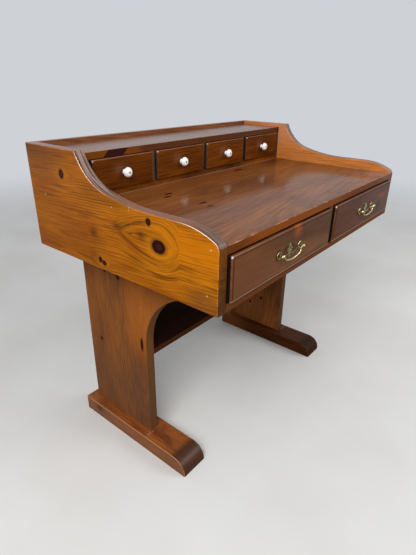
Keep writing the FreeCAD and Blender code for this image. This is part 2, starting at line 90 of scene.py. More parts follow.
class Wire:
    """A value on its way through a material's nodes."""

    def __init__(self, tree, socket):
        self.tree = tree
        self.socket = socket

    def add(self, kind, settings, sockets, output=0):
        """A new node: its type, its settings, what goes into its sockets, and the output to use."""
        node = self.tree.nodes.new(kind)
        for setting, value in settings.items():
            setattr(node, setting, value)
        for name, value in sockets.items():
            if isinstance(value, Wire):
                self.tree.links.new(value.socket, node.inputs[name])
            else:
                node.inputs[name].default_value = value
        return Wire(self.tree, node.outputs[output])

    def math(self, operation, *values):
        return self.add("ShaderNodeMath", {"operation": operation}, dict(enumerate(values)))

    def __add__(self, other):
        return self.math("ADD", self, other)

    def __sub__(self, other):
        return self.math("SUBTRACT", self, other)

    def __rsub__(self, other):
        return self.math("SUBTRACT", other, self)

    def __mul__(self, other):
        return self.math("MULTIPLY", self, other)

    def __truediv__(self, other):
        return self.math("DIVIDE", self, other)

    __radd__ = __add__
    __rmul__ = __mul__

    def root(self):
        return self.math("SQRT", self)

    def size(self):
        return self.math("ABSOLUTE", self)

    def part(self):
        """What is left above the whole number."""
        return self.math("FRACT", self)

    def most(self, other):
        return self.math("MAXIMUM", self, other)

    def least(self, other):
        return self.math("MINIMUM", self, other)

    def falloff(self):
        """1 where the value is 0, dying away on both sides like a bell."""
        return self.math("EXPONENT", self * self * -1.0)

    def decay(self):
        """1 where the value is 0, dying away above it."""
        return self.math("EXPONENT", self * -1.0)

    def rise(self, start, end, low=0.0, high=1.0):
        """A smooth step from low to high while the value goes from start to end."""
        return self.add("ShaderNodeMapRange", {"interpolation_type": "SMOOTHSTEP"},
                        {"Value": self, "From Min": start, "From Max": end, "To Min": low, "To Max": high})

    def blended(self, share, under, over):
        """Two colours in this wire's material, the second laid over the first by a share."""
        return self.add("ShaderNodeMix", {"data_type": "RGBA"},
                        {mix_share: share, mix_under: under, mix_over: over}, mix_result)

    def mixed(self, over, share):
        """This colour with another laid over it by a share."""
        return self.blended(share, self, over)

    def shaded(self, value):
        """This colour made darker or lighter by a factor."""
        return self.add("ShaderNodeHueSaturation", {}, {"Color": self, "Value": value})


print("shader formulas ready")

# %% [markdown]
# ## Places and noise
# A plank's figure follows the tree, not the surface, so each finish is worked out from the place
# inside the board. The pieces keep the frame's own coordinates, which move with a drawer. Noise
# that is stretched along one axis gives fibres, and slow noise gives uneven stain.


# %% Places and noise
def new_finish(name):
    """An empty material, its node tree and the coordinates of the desk's frame."""
    material = bpy.data.materials.new(name)
    material.use_nodes = True
    tree = material.node_tree
    tree.nodes.clear()
    place = Wire(tree, tree.nodes.new("ShaderNodeTexCoord").outputs["Object"])
    return material, place


def split(vector):
    """The three parts of a vector."""
    parts = vector.add("ShaderNodeSeparateXYZ", {}, {"Vector": vector})
    outputs = parts.socket.node.outputs
    return [Wire(vector.tree, outputs[axis]) for axis in "XYZ"]


def joined(x, y, z):
    """A vector from its three parts."""
    return x.add("ShaderNodeCombineXYZ", {}, {"X": x, "Y": y, "Z": z})


def noise(vector, seed, detail=2.0, roughness=0.5):
    """Soft noise from 0 to 1, one wave for each unit of the vector."""
    return vector.add("ShaderNodeTexNoise", {"noise_dimensions": "4D"},
                      {"Vector": vector, "W": seed, "Scale": 1.0, "Detail": detail, "Roughness": roughness})


def surfaced(material, place, sockets, height=None, depth=0.001):
    """Ends a material with its surface shader and a bump of a given depth in metres."""
    if height is not None:
        bump = place.add("ShaderNodeBump", {}, {"Height": height, "Strength": 1.0, "Distance": depth})
        sockets = dict(sockets, Normal=bump)
    shader = place.add("ShaderNodeBsdfPrincipled", {}, sockets)
    output = place.tree.nodes.new("ShaderNodeOutputMaterial")
    place.tree.links.new(shader.socket, output.inputs["Surface"])
    return material


print("places and noise ready")

# %% [markdown]
# ## How a board shows its tree
# A trunk is a stack of cones around its pith. A board cut beside the pith shows straight lines
# where its face meets the rings steeply and tall arches where it grazes them. So the figure is
# the distance from a pith line that runs past the board, slightly askew, divided by the width of
# a ring. Slow noise bends the line. A knot is a branch, and the fibres part round it like a
# stream round a stone, which leaves a pointed eye, longer along the grain than across. Image
# textures could show this too, but they would need a picture; a formula fits each board and goes
# through its edges like real wood.


# %% Knots
class Knot:
    """A knot on a board's face, in metres: its place across and along the board, and its radius.

    Stretch is its length over its width. Swelling is how far the fibres part round it, and ahead
    and behind are how far their eye reaches, all in radii. Lift moves the eye across the board,
    and clear is the share of clear wood round the knot.
    """

    def __init__(self, across, along, radius, stretch=1.2, swelling=1.7, ahead=5.0, behind=5.0, lift=0.0,
                 clear=0.15):
        self.across = across
        self.along = along
        self.radius = radius
        self.stretch = stretch
        self.swelling = swelling * radius
        self.ahead = ahead * radius
        self.behind = behind * radius
        self.middle = across + lift
        self.clear = clear
        self.easing = 0.7 * self.swelling


print("knots ready")


# %% Board figure
class Board:
    """The wires of one board: across its face, into its depth and along its grain."""

    def __init__(self, place, along, face, seed, knots):
        axes = dict(zip("XYZ", split(place)))
        across = next(axis for axis in "XYZ" if axis not in (along, face))
        self.place = place
        self.seed = seed
        self.across, self.depth, self.along = axes[across], axes[face], axes[along]
        self.normal = dict(zip("XYZ", split(place.add("ShaderNodeTexCoord", {}, {}, "Normal"))))
        self.faced = self.normal[face].size()
        self.upward = self.normal["Z"]
        self.flowed = self.parted(knots)

    def parted(self, knots):
        """The place across the board as the fibres count it, parted round each knot."""
        flowed = self.across
        for knot in knots:
            if not knot.swelling:
                continue
            apart = self.across - knot.middle
            away = self.along - knot.along
            share = (away / knot.behind).most(away / -knot.ahead)
            room = (1.0 - share * share).most(0.0)
            blunt = (away / knot.behind).rise(-0.1, 0.3, 0.6, 1.0)
            swelling = room.math("POWER", room, blunt) * knot.swelling
            clear = apart.size() - swelling
            pushed = apart.size().least(swelling) * apart.math("SIGN", apart)
            eased = (clear.most(0.0) / knot.easing).decay()
            flowed = flowed - pushed * eased + (clear * -1.0).most(0.0) * 0.4
        return flowed

    def grained(self, across, fine, deep, slow, shift, detail=2.0, roughness=0.5):
        """Noise over a place across the grain, with its waves to the metre in three directions."""
        vector = joined(across * fine, self.depth * deep, self.along * slow)
        return noise(vector, self.seed + shift, detail, roughness)

    def stretched(self, fine, slow, detail=2.0, shift=0.0):
        """Noise with so many waves to the metre across the grain, and fewer along it."""
        return self.grained(self.across, fine, fine, slow, shift, detail)

    def distance(self, across, along, reach, stretch=1.0):
        """How far the surface is from a place, in units of a reach, longer along the grain."""
        aside = (self.across - across) / reach
        ahead = (self.along - along) / (reach * stretch)
        return (aside * aside + ahead * ahead).root()

    def spot(self, across, along, reach, stretch=1.0):
        """1 at a place, dying away round it."""
        return self.distance(across, along, reach, stretch).falloff()

    def rings(self, heart, tilt, width):
        """The count of rings from the pith, as a value that grows by 1 for each ring."""
        aside = self.flowed - heart[0] - self.along * tilt[0]
        below = self.depth - heart[1] - self.along * tilt[1]
        bend = (self.stretched(3.0, 1.7, 1.0, 5.0) - 0.5) * 0.024
        ripple = (self.stretched(24.0, 6.0, 2.0, 9.0) - 0.5) * 0.005
        reach = (aside * aside + below * below).root() + bend + ripple
        return reach / width


print("board figure ready")

# %% [markdown]
# ## Stained pine
# Each ring has a wide pale early part and a thin dark late part that stops sharply. Finer
# streaks run with the rings, so they are drawn in ring counts and bend round the knots as well.
# The stain soaks in unevenly, which slow noise shows. Cut edges drink more of it and turn a greyish
# brown, and rounded corners are painted paler, partly for rubbed wear and partly as a painted
# highlight. The varnish is a coat on the shader. It lies thickest on what faces up, where dust and
# hands have also left it a little rough.


# %% Rings, streaks and knots
def figured(board, tones, heart, tilt, width, contrast):
    """The colour of the bare face, and a height for its bump."""
    early, late, shade = tones
    count = board.rings(heart, tilt, width)
    turn = count.part()
    line = turn.rise(0.45, 0.86) - turn.rise(0.88, 1.0)
    strength = board.grained(count, fine=0.6, deep=0.0, slow=4.0, shift=3.0)
    line = line * line * strength.rise(0.40, 0.62, 0.0, 1.0) * contrast
    streak = board.grained(count, fine=2.6, deep=20.0, slow=10.0, shift=13.0, detail=4.0, roughness=0.65)
    stroke = board.grained(board.flowed, fine=110.0, deep=60.0, slow=9.0, shift=15.0, detail=3.0)
    fibre = board.grained(board.flowed, fine=520.0, deep=520.0, slow=16.0, shift=19.0)
    cloud = board.stretched(10.0, 3.5, 3.0, 17.0).rise(0.36, 0.68)
    base = board.place.blended(line, early, late)
    base = base.mixed(shade, cloud * 0.75).mixed(late, stroke.rise(0.54, 0.7) * contrast * 0.75)
    base = base.shaded(streak.rise(0.28, 0.7, 0.64, 1.25) * fibre.rise(0.25, 0.75, 0.9, 1.1))
    return base, fibre * 0.4 - line * 0.4


def knotted(board, base, knots, halo):
    """The board's colour with its knots: a clear halo, a dark collar and a reddish core."""
    for knot in knots:
        if halo:
            near = board.distance(knot.across, knot.along, knot.radius * 2.4, 1.5)
            base = base.mixed(halo, near.rise(0.3, 1.1, knot.clear, 0.0))
    for number, knot in enumerate(knots):
        wobble = board.stretched(0.8 / knot.radius, 0.8 / knot.radius, 1.0, number) - 0.5
        rim = board.distance(knot.across, knot.along, knot.radius, knot.stretch) + wobble * 0.4
        collar = rim.rise(0.9, 1.6, 0.75, 0.0)
        core = rim.rise(0.9, 1.06, 0.98, 0.0)
        heartwood = board.place.blended(rim.rise(0.2, 0.75), knot_red, knot_dark)
        base = base.mixed(knot_collar, collar).mixed(heartwood, core)
    return base


knot_dark = colour(26, 5, 4)
knot_red = colour(68, 15, 10)
knot_collar = colour(104, 48, 8)
print("rings and knots ready")


# %% Varnished boards
def window(value, low, high, soft):
    """1 between two places, fading to 0 outside them over a soft width."""
    return value.rise(low - soft, low + soft) * value.rise(high - soft, high + soft, 1.0, 0.0)


def pine(name, along, face, tones, edge, heart, tilt=(0.0, 0.0), knots=(), seed=0.0, width=0.0062,
         contrast=0.6, edge_share=0.9, stains=(), rubbed_glint=None, worn_glint=None, halo=None, marks=(), gloss=0.4,
         shine=0.12, polish=0.12, dull=0.0):
    """A varnished board. Its tones are early wood, late wood and uneven stain.

    Along and face name the axes of its grain and its face, edge is the colour of its cut edges,
    heart is where the pith lies, across and in depth, and tilt how far it leans for each metre.
    """
    material, place = new_finish(name)
    board = Board(place, along, face, seed, knots)
    base, relief = figured(board, tones, heart, tilt, width, contrast)
    for over, share, mask in stains:
        base = base.mixed(over, mask(board) * share)
    base = knotted(board, base, knots, halo)
    cut = board.faced.rise(0.35, 0.75, 1.0, 0.0)
    pores = board.stretched(300.0, 300.0, 2.0, 21.0)
    base = base.mixed(edge, cut * pores.rise(0.3, 0.7, 0.8, 1.0) * edge_share)
    for over, share, mask in marks:
        base = base.mixed(over, mask(board) * share)
    # Rounded corners painted paler: partly rubbed wear, partly a painted highlight.
    if rubbed_glint:
        corner = window(board.faced, 0.5, 0.88, 0.1)
        patchy = board.stretched(60.0, 14.0, 2.0, 25.0).rise(0.38, 0.62)
        base = base.mixed(rubbed_glint, corner * patchy * 0.6)
        # The nose and the scoop's outer corner are painted near-white: a painted highlight over rubbed
        # wear.
        if worn_glint:
            base = base.mixed(bare_corner_glint, window(board.faced, 0.55, 0.86, 0.08) * worn_glint(board))
    smears = board.stretched(9.0, 4.0, 3.0, 29.0)
    roughness = smears.rise(0.3, 0.7, 0.3 + dull, 0.44 + dull)
    sockets = {"Base Color": base, "Roughness": roughness,
               "Coat Weight": board.upward.rise(0.3, 0.95) * gloss, "Coat Roughness": polish,
               "Coat IOR": varnish_index, "Specular IOR Level": shine}
    return surfaced(material, place, sockets, relief, 0.0005)


# Near-white for the nose: a painted highlight over bare worn wood.
bare_corner_glint = colour(255, 236, 214)
varnish_index = 1.7
print("stained pine ready")

# %% [markdown]
# ## One finish for each board
# No two boards of the real desk look alike: the left side is honey gold with a bold round knot,
# the writing board is a calm reddish brown, the fronts are darker. Each gets its own place
# beside the tree, its own knots, its own tones and its own marks of use. A stain lies under the
# knots and a mark over them. Each is a colour, a share and a mask, and the mask is a small
# formula on the board's places in metres. A later mark covers an earlier one.

# %% Tones
honey = (colour(202, 120, 6), colour(92, 46, 4), colour(140, 68, 6))
orange = (colour(216, 134, 66), colour(150, 84, 36), colour(184, 108, 54))
chestnut = (colour(132, 80, 44), colour(84, 42, 20), colour(104, 58, 30))
rail_brown = (colour(104, 60, 30), colour(66, 34, 16), colour(80, 46, 24))
clear_gold = colour(204, 128, 10)
cut_brown = colour(64, 38, 14)
rim_brown = colour(136, 80, 38)
# Mauve for waxed end grain that faces half up: wax with a painted sheen.
mauve_sheen = colour(154, 131, 123)
# Pale orange for rounded corners: rubbed wear and a painted highlight.
rubbed_edge_glint = colour(206, 140, 84)
umber = colour(70, 38, 20)
# Near-black painted shade for the gaps round the drawers.
painted_gap_shade = colour(22, 10, 6)
dust = colour(158, 124, 112)
finishes = {}
print("tones mixed")

# %% [markdown]
# ## The two sides
# The left side is the board that is seen first. Its knots, dents and darker parts have their
# places, and the big knot has the long pointed eye that the fibres leave round it. Sleeves have
# rubbed the nose and the scoop, which are painted pale with a painted highlight over the wear, and
# the wax on their end grain carries a painted mauve sheen. Near-black painted shade lies in the
# edge beside the drawer. A painted map could carry all this, but it would stop at the edges; masks
# run round them like real wear.


# %% Marks on the face of the left side
side_knots = [
    Knot(0.7292, -0.1453, 0.0152, 1.28, swelling=2.8, ahead=3.7, behind=8.6, lift=0.009, clear=0.6),
    Knot(0.7775, -0.1162, 0.0078, 0.9, swelling=0.0),
    Knot(0.8341, 0.1816, 0.0108, 0.85, swelling=1.0),
    Knot(0.6455, 0.0584, 0.0076, 0.8),
    Knot(0.6403, 0.0443, 0.0062, swelling=0.0),
]


def towards_back(board):
    """The back part, which has darkened more than the front."""
    return board.along.rise(-0.18, 0.30) * board.faced.rise(0.5, 0.9)


def upper_corner(board):
    """The upper back corner, darker."""
    return board.across.rise(0.80, 0.89) * board.along.rise(0.08, 0.30)


def clear_front(board):
    """Behind the nose, where the honey colour is clearest."""
    return board.along.rise(-0.13, -0.22) * window(board.across, 0.715, 0.775, 0.015)


def knee_corner(board):
    """The lower front corner, which knees and skirts have dulled."""
    return board.along.rise(-0.20, -0.26) * board.across.rise(0.69, 0.65)


def under_rim(board):
    """A darker band below the back end of the low rim."""
    return window(board.along, -0.04, 0.11, 0.03) * window(board.across, 0.785, 0.830, 0.02)


def smudges(board):
    """Small knots that the stain has blurred, and the dark stain beside the pair at the foot."""
    near = board.spot(0.7103, 0.0751, 0.013, 1.1).most(board.spot(0.7450, -0.0144, 0.008, 2.2))
    near = near.most(board.spot(0.7429, -0.0925, 0.009, 1.6))
    return near.most(board.spot(0.6480, 0.0760, 0.018, 1.6) * 0.7)


def eye(board):
    """The dark line round the long eye that the fibres leave about the big knot."""
    knot = side_knots[0]
    off_line = (board.flowed - knot.middle) / 0.0022
    near = window(board.along, knot.along - knot.ahead, knot.along + knot.behind, 0.004)
    reach = board.distance(knot.middle, knot.along + 0.03, knot.radius * 3.4, 1.9).rise(0.7, 1.1, 1.0, 0.0)
    broken = board.stretched(50.0, 30.0, 2.0, 45.0).rise(0.3, 0.55, 0.3, 1.0)
    return off_line.falloff() * near * reach * broken


def specks(board):
    """Four pale dents and a short scratch, where the stain is gone."""
    marks = board.spot(0.7871, -0.0004, 0.0014)
    for across, along in ((0.7722, 0.2646), (0.7578, -0.2833), (0.6594, -0.2755)):
        marks = marks.most(board.spot(across, along, 0.0016))
    return marks.most(board.spot(0.7944, -0.0576, 0.006, 0.12) * 0.6)


print(f"{len(side_knots)} knots on the left side")


# %% Marks on the edges of both sides
def scooped(board):
    """Waxed end grain, on what faces half up."""
    band = board.faced.rise(0.3, 0.5, 1.0, 0.0) * board.upward.rise(0.2, 0.45)
    return band * board.upward.rise(0.95, 0.995, 1.0, 0.2)


def veins(board):
    """Streaks that follow an edge, side by side in the board's thickness."""
    vector = joined(board.depth * 260.0, board.along * 12.0, board.across * 12.0)
    return noise(vector, board.seed + 43.0, 3.0)


def wax_and_sheen(board):
    """The wax, with a painted mauve sheen, worn into streaks and gone from the lower corner."""
    return scooped(board) * veins(board).rise(0.38, 0.58) * board.faced.rise(0.0, 0.3, 1.0, 0.7)


def rim(board):
    """The low rim, which arms keep clean."""
    return board.upward.rise(0.93, 0.99)


def nose_wear_and_glint(board):
    """The corners along the rounded nose and up the scoop, which sleeves rub: a painted highlight over the
    wear.
    """
    scoop = board.across.rise(0.79, 0.84) * board.normal["Y"].rise(-0.05, -0.3) * 0.6
    return scoop.most(board.along.rise(-0.17, -0.25) * board.across.rise(0.758, 0.778))


def dark_nose(board):
    """The front of the scooped edge, where hands have darkened the wax."""
    return scooped(board) * board.along.rise(-0.20, -0.27)


def drawer_gap_shade(board):
    """Near-black painted shade inside the edge, beside the drawer."""
    inner = board.depth.rise(-0.4645, -0.4622) * board.along.rise(-0.26, -0.28)
    return inner * window(board.across, 0.637, 0.747, 0.002)


def pink_front(board):
    """The front part of the far side above the gallery, where the stain has gone pink."""
    return board.along.rise(0.27, 0.15) * board.across.rise(0.80, 0.86)


edge_marks = [(rim_brown, 0.9, rim), (umber, 0.7, scooped), (mauve_sheen, 0.95, wax_and_sheen)]
print(f"{len(edge_marks)} marks on the edges of each side")

# %% The two sides
left_stains = [(colour(138, 72, 18), 0.5, towards_back), (colour(98, 52, 20), 0.75, upper_corner),
               (colour(236, 138, 0), 0.45, clear_front), (colour(104, 64, 34), 0.5, knee_corner),
               (colour(104, 54, 12), 0.4, under_rim), (colour(74, 34, 8), 0.7, smudges),
               (colour(70, 34, 6), 0.75, eye)]
left_marks = [(colour(240, 214, 180), 0.8, specks), *edge_marks, (colour(98, 74, 56), 0.7, dark_nose),
              (painted_gap_shade, 0.95, drawer_gap_shade)]
finishes["left_side"] = pine(
    "left_side_pine", "Y", "X", honey, cut_brown, heart=(0.575, -0.438), tilt=(-0.05, 0.05),
    knots=side_knots, seed=1.0, width=0.0066, contrast=1.0, rubbed_glint=rubbed_edge_glint, worn_glint=nose_wear_and_glint,
    halo=clear_gold, shine=0.1, stains=left_stains, marks=left_marks)
finishes["right_side"] = pine(
    "right_side_pine", "Y", "X", orange, cut_brown, heart=(0.62, 0.40), tilt=(-0.03, -0.05),
    knots=[Knot(0.70, 0.12, 0.009)], seed=2.0, rubbed_glint=rubbed_edge_glint, shine=0.08,
    stains=[(colour(214, 142, 108), 0.6, pink_front)], marks=edge_marks)
print(f"{len(finishes)} sides finished")

# %% [markdown]
# ## The writing board
# The board that is used most is darkest in its middle, warmer towards the gallery, and hazy with
# fine scratches and a painted sheen in its near right corner. Its varnish mirrors the knobs a little,
# which a coat on the shader gives without a second surface. Things that were pulled over the front
# edge have chipped its corner down to pale wood.


# %% The writing board
desk_knots = [Knot(0.0558, -0.2517, 0.0056, 2.4), Knot(0.0342, -0.2785, 0.0050, 2.4),
              Knot(-0.0725, -0.2603, 0.0056, 2.2), Knot(-0.1042, -0.2714, 0.0046, 2.4),
              Knot(0.1134, 0.1533, 0.0075, 3.0)]
desk_brown = (colour(142, 86, 42), colour(78, 39, 16), colour(108, 61, 31))


def warm_back(board):
    """The part by the gallery, which is warmer."""
    return board.across.rise(-0.02, 0.14)


def calm_middle(board):
    """The middle of the board, dark and calm."""
    return board.spot(-0.055, -0.01, 0.075, 2.4)


def far_corner(board):
    """The dark far corner by the gallery."""
    return board.spot(0.110, 0.400, 0.045, 2.2)


def near_haze_and_sheen(board):
    """Wax and fine scratches gone pale in the near corner by the right side, with a painted mauve sheen."""
    uneven = board.stretched(40.0, 16.0, 3.0, 71.0).rise(0.25, 0.6, 0.5, 1.0)
    return board.spot(-0.275, 0.455, 0.080, 1.1) * uneven


def dark_ends(board):
    """The front edge is darker towards its ends."""
    ends = board.along.rise(-0.34, -0.44).most(board.along.rise(-0.10, 0.20))
    return ends * board.upward.rise(0.3, 0.8, 1.0, 0.0)


def chips(board):
    """Pale chips along the top corner, where things were pulled over the edge."""
    corner = window(board.upward, 0.25, 0.98, 0.05) * board.across.rise(-0.290, -0.298)
    return corner * board.stretched(60.0, 36.0, 3.0, 41.0).rise(0.53, 0.66)


desk_stains = [(colour(124, 68, 24), 0.5, warm_back), (colour(72, 34, 14), 0.4, calm_middle),
               (colour(50, 24, 8), 0.55, far_corner)]
desk_marks = [(colour(176, 148, 142), 0.5, near_haze_and_sheen), (colour(76, 38, 18), 0.6, dark_ends),
              (colour(230, 184, 142), 0.75, chips)]
finishes["desktop"] = pine(
    "writing_board_pine", "X", "Z", desk_brown, colour(140, 70, 8), heart=(-0.30, 0.66),
    tilt=(0.03, 0.05), knots=desk_knots, seed=3.0, width=0.0085, contrast=0.8, edge_share=0.85,
    rubbed_glint=colour(160, 88, 34), gloss=0.34, shine=0.04, polish=0.11, stains=desk_stains,
    marks=desk_marks)
print(f"{len(desk_knots)} knots on the writing board")

# %% [markdown]
# ## The gallery, the floor board and the back
# The gallery's upper board shows a knot that the saw cut along its length, between two patches
# of clear gold wood. The boards below and behind are plainer, so a few numbers tell them apart.


# %% The gallery's boards
def spike_gold(board):
    """Clear gold wood on the front edge, on both sides of a knot that was cut along its length."""
    return window(board.along, -0.470, -0.262, 0.016) * board.upward.rise(0.3, 0.8, 1.0, 0.0)


def spike_knot(board):
    """The cut knot itself, with both ends slanted."""
    slanted = board.along - (board.depth - 0.866) * 1.06
    return window(slanted, -0.387, -0.322, 0.0012) * board.upward.rise(0.5, 0.9, 1.0, 0.0)


def joint_line(board):
    """Dust and old wax in the corner where the gallery meets the writing board."""
    return board.across.rise(0.7650, 0.7664, 1.0, 0.0)


floor_brown = (colour(132, 70, 8), colour(86, 42, 4), umber)
finishes["gallery_shelf"] = pine(
    "gallery_shelf_pine", "X", "Z", chestnut, colour(74, 34, 4), heart=(0.05, 0.70),
    tilt=(0.02, 0.03), seed=4.0, contrast=0.5, edge_share=0.85, rubbed_glint=colour(150, 92, 54),
    gloss=0.8, shine=0.08, polish=0.26,
    marks=[(colour(118, 62, 2), 0.85, spike_gold), (colour(44, 6, 6), 0.96, spike_knot)])
finishes["gallery_floor"] = pine(
    "gallery_floor_pine", "X", "Y", floor_brown, umber, heart=(0.77, 0.02), seed=7.0, gloss=0.3,
    shine=0.04, marks=[(dust, 0.6, joint_line)])
print(f"{len(finishes)} boards finished")

# %% Shelf, floor board, back and uprights
# The lower shelf is a dark stain, darkened further as painted shade under the case.
shelf_brown_shaded = (colour(40, 18, 8), colour(26, 10, 4), colour(34, 16, 8))
upright_brown = (colour(96, 76, 60), colour(62, 42, 30), umber)
finishes["lower_shelf"] = pine(
    "lower_shelf_pine", "X", "Z", shelf_brown_shaded, colour(76, 42, 16), heart=(0.1, 0.1), seed=5.0,
    gloss=0.0, shine=0.01, dull=0.2)
finishes["case_floor"] = pine(
    "case_floor_pine", "X", "Z", rail_brown, colour(116, 66, 36), heart=(0.0, 0.35), seed=6.0,
    gloss=0.2, shine=0.02, rubbed_glint=colour(190, 140, 100))
finishes["lower_back_board"] = pine(
    "lower_back_pine", "X", "Y", chestnut, umber, heart=(0.67, 0.46), tilt=(0.02, 0.03), seed=8.0,
    dull=0.12, knots=[Knot(0.70, -0.2, 0.008), Knot(0.66, 0.25, 0.006)])
finishes["upper_back_board"] = pine(
    "upper_back_pine", "X", "Y", chestnut, colour(142, 78, 30), heart=(0.82, 0.46),
    tilt=(-0.02, 0.03), seed=9.0, dull=0.12, knots=[Knot(0.83, 0.1, 0.008)])
uprights = ["centre_partition", "gallery_divider_1", "gallery_divider_2", "gallery_divider_3",
            "left_end_stile", "right_end_stile"]
for number, name in enumerate(uprights):
    finishes[name] = pine(name + "_pine", "Z", "Y", upright_brown, umber,
                          heart=(-0.4 + 0.11 * number, 0.05), seed=10.0 + number, gloss=0.2, shine=0.08)
print(f"{len(finishes)} boards finished")

# %% [markdown]
# ## Legs and feet
# Grain runs up the legs and along the feet. Mops and shoes have greyed what is low, thick stain
# has run together on top of the feet, and the near foot's outer top edge carries a painted pale
# highlight. The far foot is painted darker as painted shade under the desk, and lighter on its
# outer side and back, which the light reaches.


# %% Marks on legs and feet
def low_down(board):
    """The lower part of a leg, which mops and shoes have greyed."""
    return board.along.rise(0.42, 0.12)


def warm_front(board):
    """The front of a leg below the case, where the stain is thin and warm."""
    return board.across.rise(0.12, 0.06) * window(board.along, 0.32, 0.56, 0.06)


def arched(board):
    """The sawn curve under the arm, where the stain is thin."""
    return board.upward.rise(-0.2, -0.7)


def patches(board):
    """Dark red patches, where a thick coat of stain ran together on top of a foot."""
    return board.stretched(26.0, 11.0, 3.0, 51.0).rise(0.46, 0.62) * board.upward.rise(0.2, 0.8)


def scuffed(board):
    """The upright outer side of a foot, which shoes have greyed."""
    return board.faced.rise(0.6, 0.9)


def arris_glint(board):
    """The outer top edge of a foot, painted pale as a painted highlight."""
    corner = window(board.faced, 0.62, 0.84, 0.05) * board.upward.rise(0.3, 0.6)
    return corner * board.depth.rise(-0.40, -0.41)


def leg_corner(board):
    """Old wax in the corner between the front of a leg and its foot."""
    near = window(board.along, 0.007, 0.013, 0.002) * board.depth.size().rise(0.383, 0.388)
    return near * board.upward.rise(0.5, 0.9) * board.stretched(90.0, 60.0, 2.0, 53.0).rise(0.35, 0.55)


def lit_parts(board):
    """The outer side and the back of the far foot, which the light reaches."""
    return board.depth.rise(0.418, 0.426).most(board.along.rise(0.12, 0.26))


def toe(board):
    """End grain on the rounded front of a foot, darker than its top."""
    return board.along.rise(-0.088, -0.112) * board.faced.rise(0.3, 0.6, 1.0, 0.0)


def heel_knot(board):
    """A blurred dark knot near the back of the left foot."""
    return board.spot(0.0332, 0.2326, 0.014, 1.3)


leg_marks = [(colour(122, 86, 54), 0.8, arched)]
print(f"{len(leg_marks)} mark on both legs")

# %% Legs
left_leg_brown = (colour(148, 88, 40), colour(94, 52, 24), colour(110, 66, 38))
right_leg_brown = (colour(160, 94, 42), colour(104, 56, 26), colour(120, 70, 36))
left_leg_knots = [Knot(0.2208, 0.3041, 0.0052), Knot(0.0329, 0.361, 0.0050, 4.0),
                  Knot(0.1739, 0.5518, 0.0038, 1.4), Knot(0.1177, 0.5463, 0.0062, 1.1)]
finishes["left_leg"] = pine(
    "left_leg_pine", "Z", "X", left_leg_brown, colour(100, 66, 38), heart=(0.03, -0.52),
    tilt=(0.02, 0.03), seed=20.0, contrast=0.5, gloss=0.2, shine=0.08, knots=left_leg_knots,
    stains=[(colour(104, 72, 52), 0.45, low_down), (colour(190, 106, 36), 0.5, warm_front)],
    marks=leg_marks)
finishes["right_leg"] = pine(
    "right_leg_pine", "Z", "X", right_leg_brown, colour(78, 54, 40), heart=(0.02, 0.52),
    tilt=(-0.02, 0.02), seed=21.0, contrast=0.5, gloss=0.2,
    knots=[Knot(0.1674, 0.1405, 0.0050), Knot(0.1119, 0.1761, 0.006)], marks=leg_marks)
print(f"{len(finishes)} boards finished")

# %% Feet
left_foot_red = (colour(166, 92, 34), colour(96, 48, 18), colour(134, 76, 38))
# The far foot's tones are darkened as painted shade under the desk.
right_foot_shaded_brown = (colour(84, 44, 20), colour(56, 28, 12), colour(64, 36, 20))
finishes["left_foot"] = pine(
    "left_foot_pine", "Y", "X", left_foot_red, colour(128, 72, 30), heart=(-0.03, -0.50), seed=22.0,
    rubbed_glint=rubbed_edge_glint, contrast=0.9, edge_share=0.2, gloss=0.2, shine=0.12, polish=0.4,
    stains=[(colour(96, 40, 26), 0.8, patches), (colour(140, 106, 84), 0.4, scuffed)],
    marks=[(umber, 0.8, heel_knot), (colour(66, 42, 30), 0.9, toe),
           (colour(222, 160, 134), 0.8, arris_glint), (dust, 0.6, leg_corner)])
finishes["right_foot"] = pine(
    "right_foot_pine", "Y", "X", right_foot_shaded_brown, colour(64, 34, 16), heart=(-0.03, 0.50),
    seed=23.0, edge_share=0.2, gloss=0.1, shine=0.05,
    stains=[(colour(150, 88, 42), 0.7, lit_parts)],
    marks=[(colour(48, 30, 20), 0.8, toe), (dust, 0.4, leg_corner)])
print(f"{len(finishes)} boards finished")

# %% [markdown]
# ## Drawers
# The fronts are the darkest boards, each from another plank, so each takes its own seed. Stain
# and polish have gathered in the quirk beside the raised field, which painted shade darkens further,
# and near-black painted shade fills the gaps round each front; their rounded edges and corners carry
# painted highlights. The marks that all fronts share are worked out from each front's own box. The
# inner faces and the boxes are pine that has never seen stain, so one bare finish serves all boxes.


# %% What every front has
bare_brown = colour(188, 140, 84)
raised_margin = 0.007
corner_inset = 0.0022


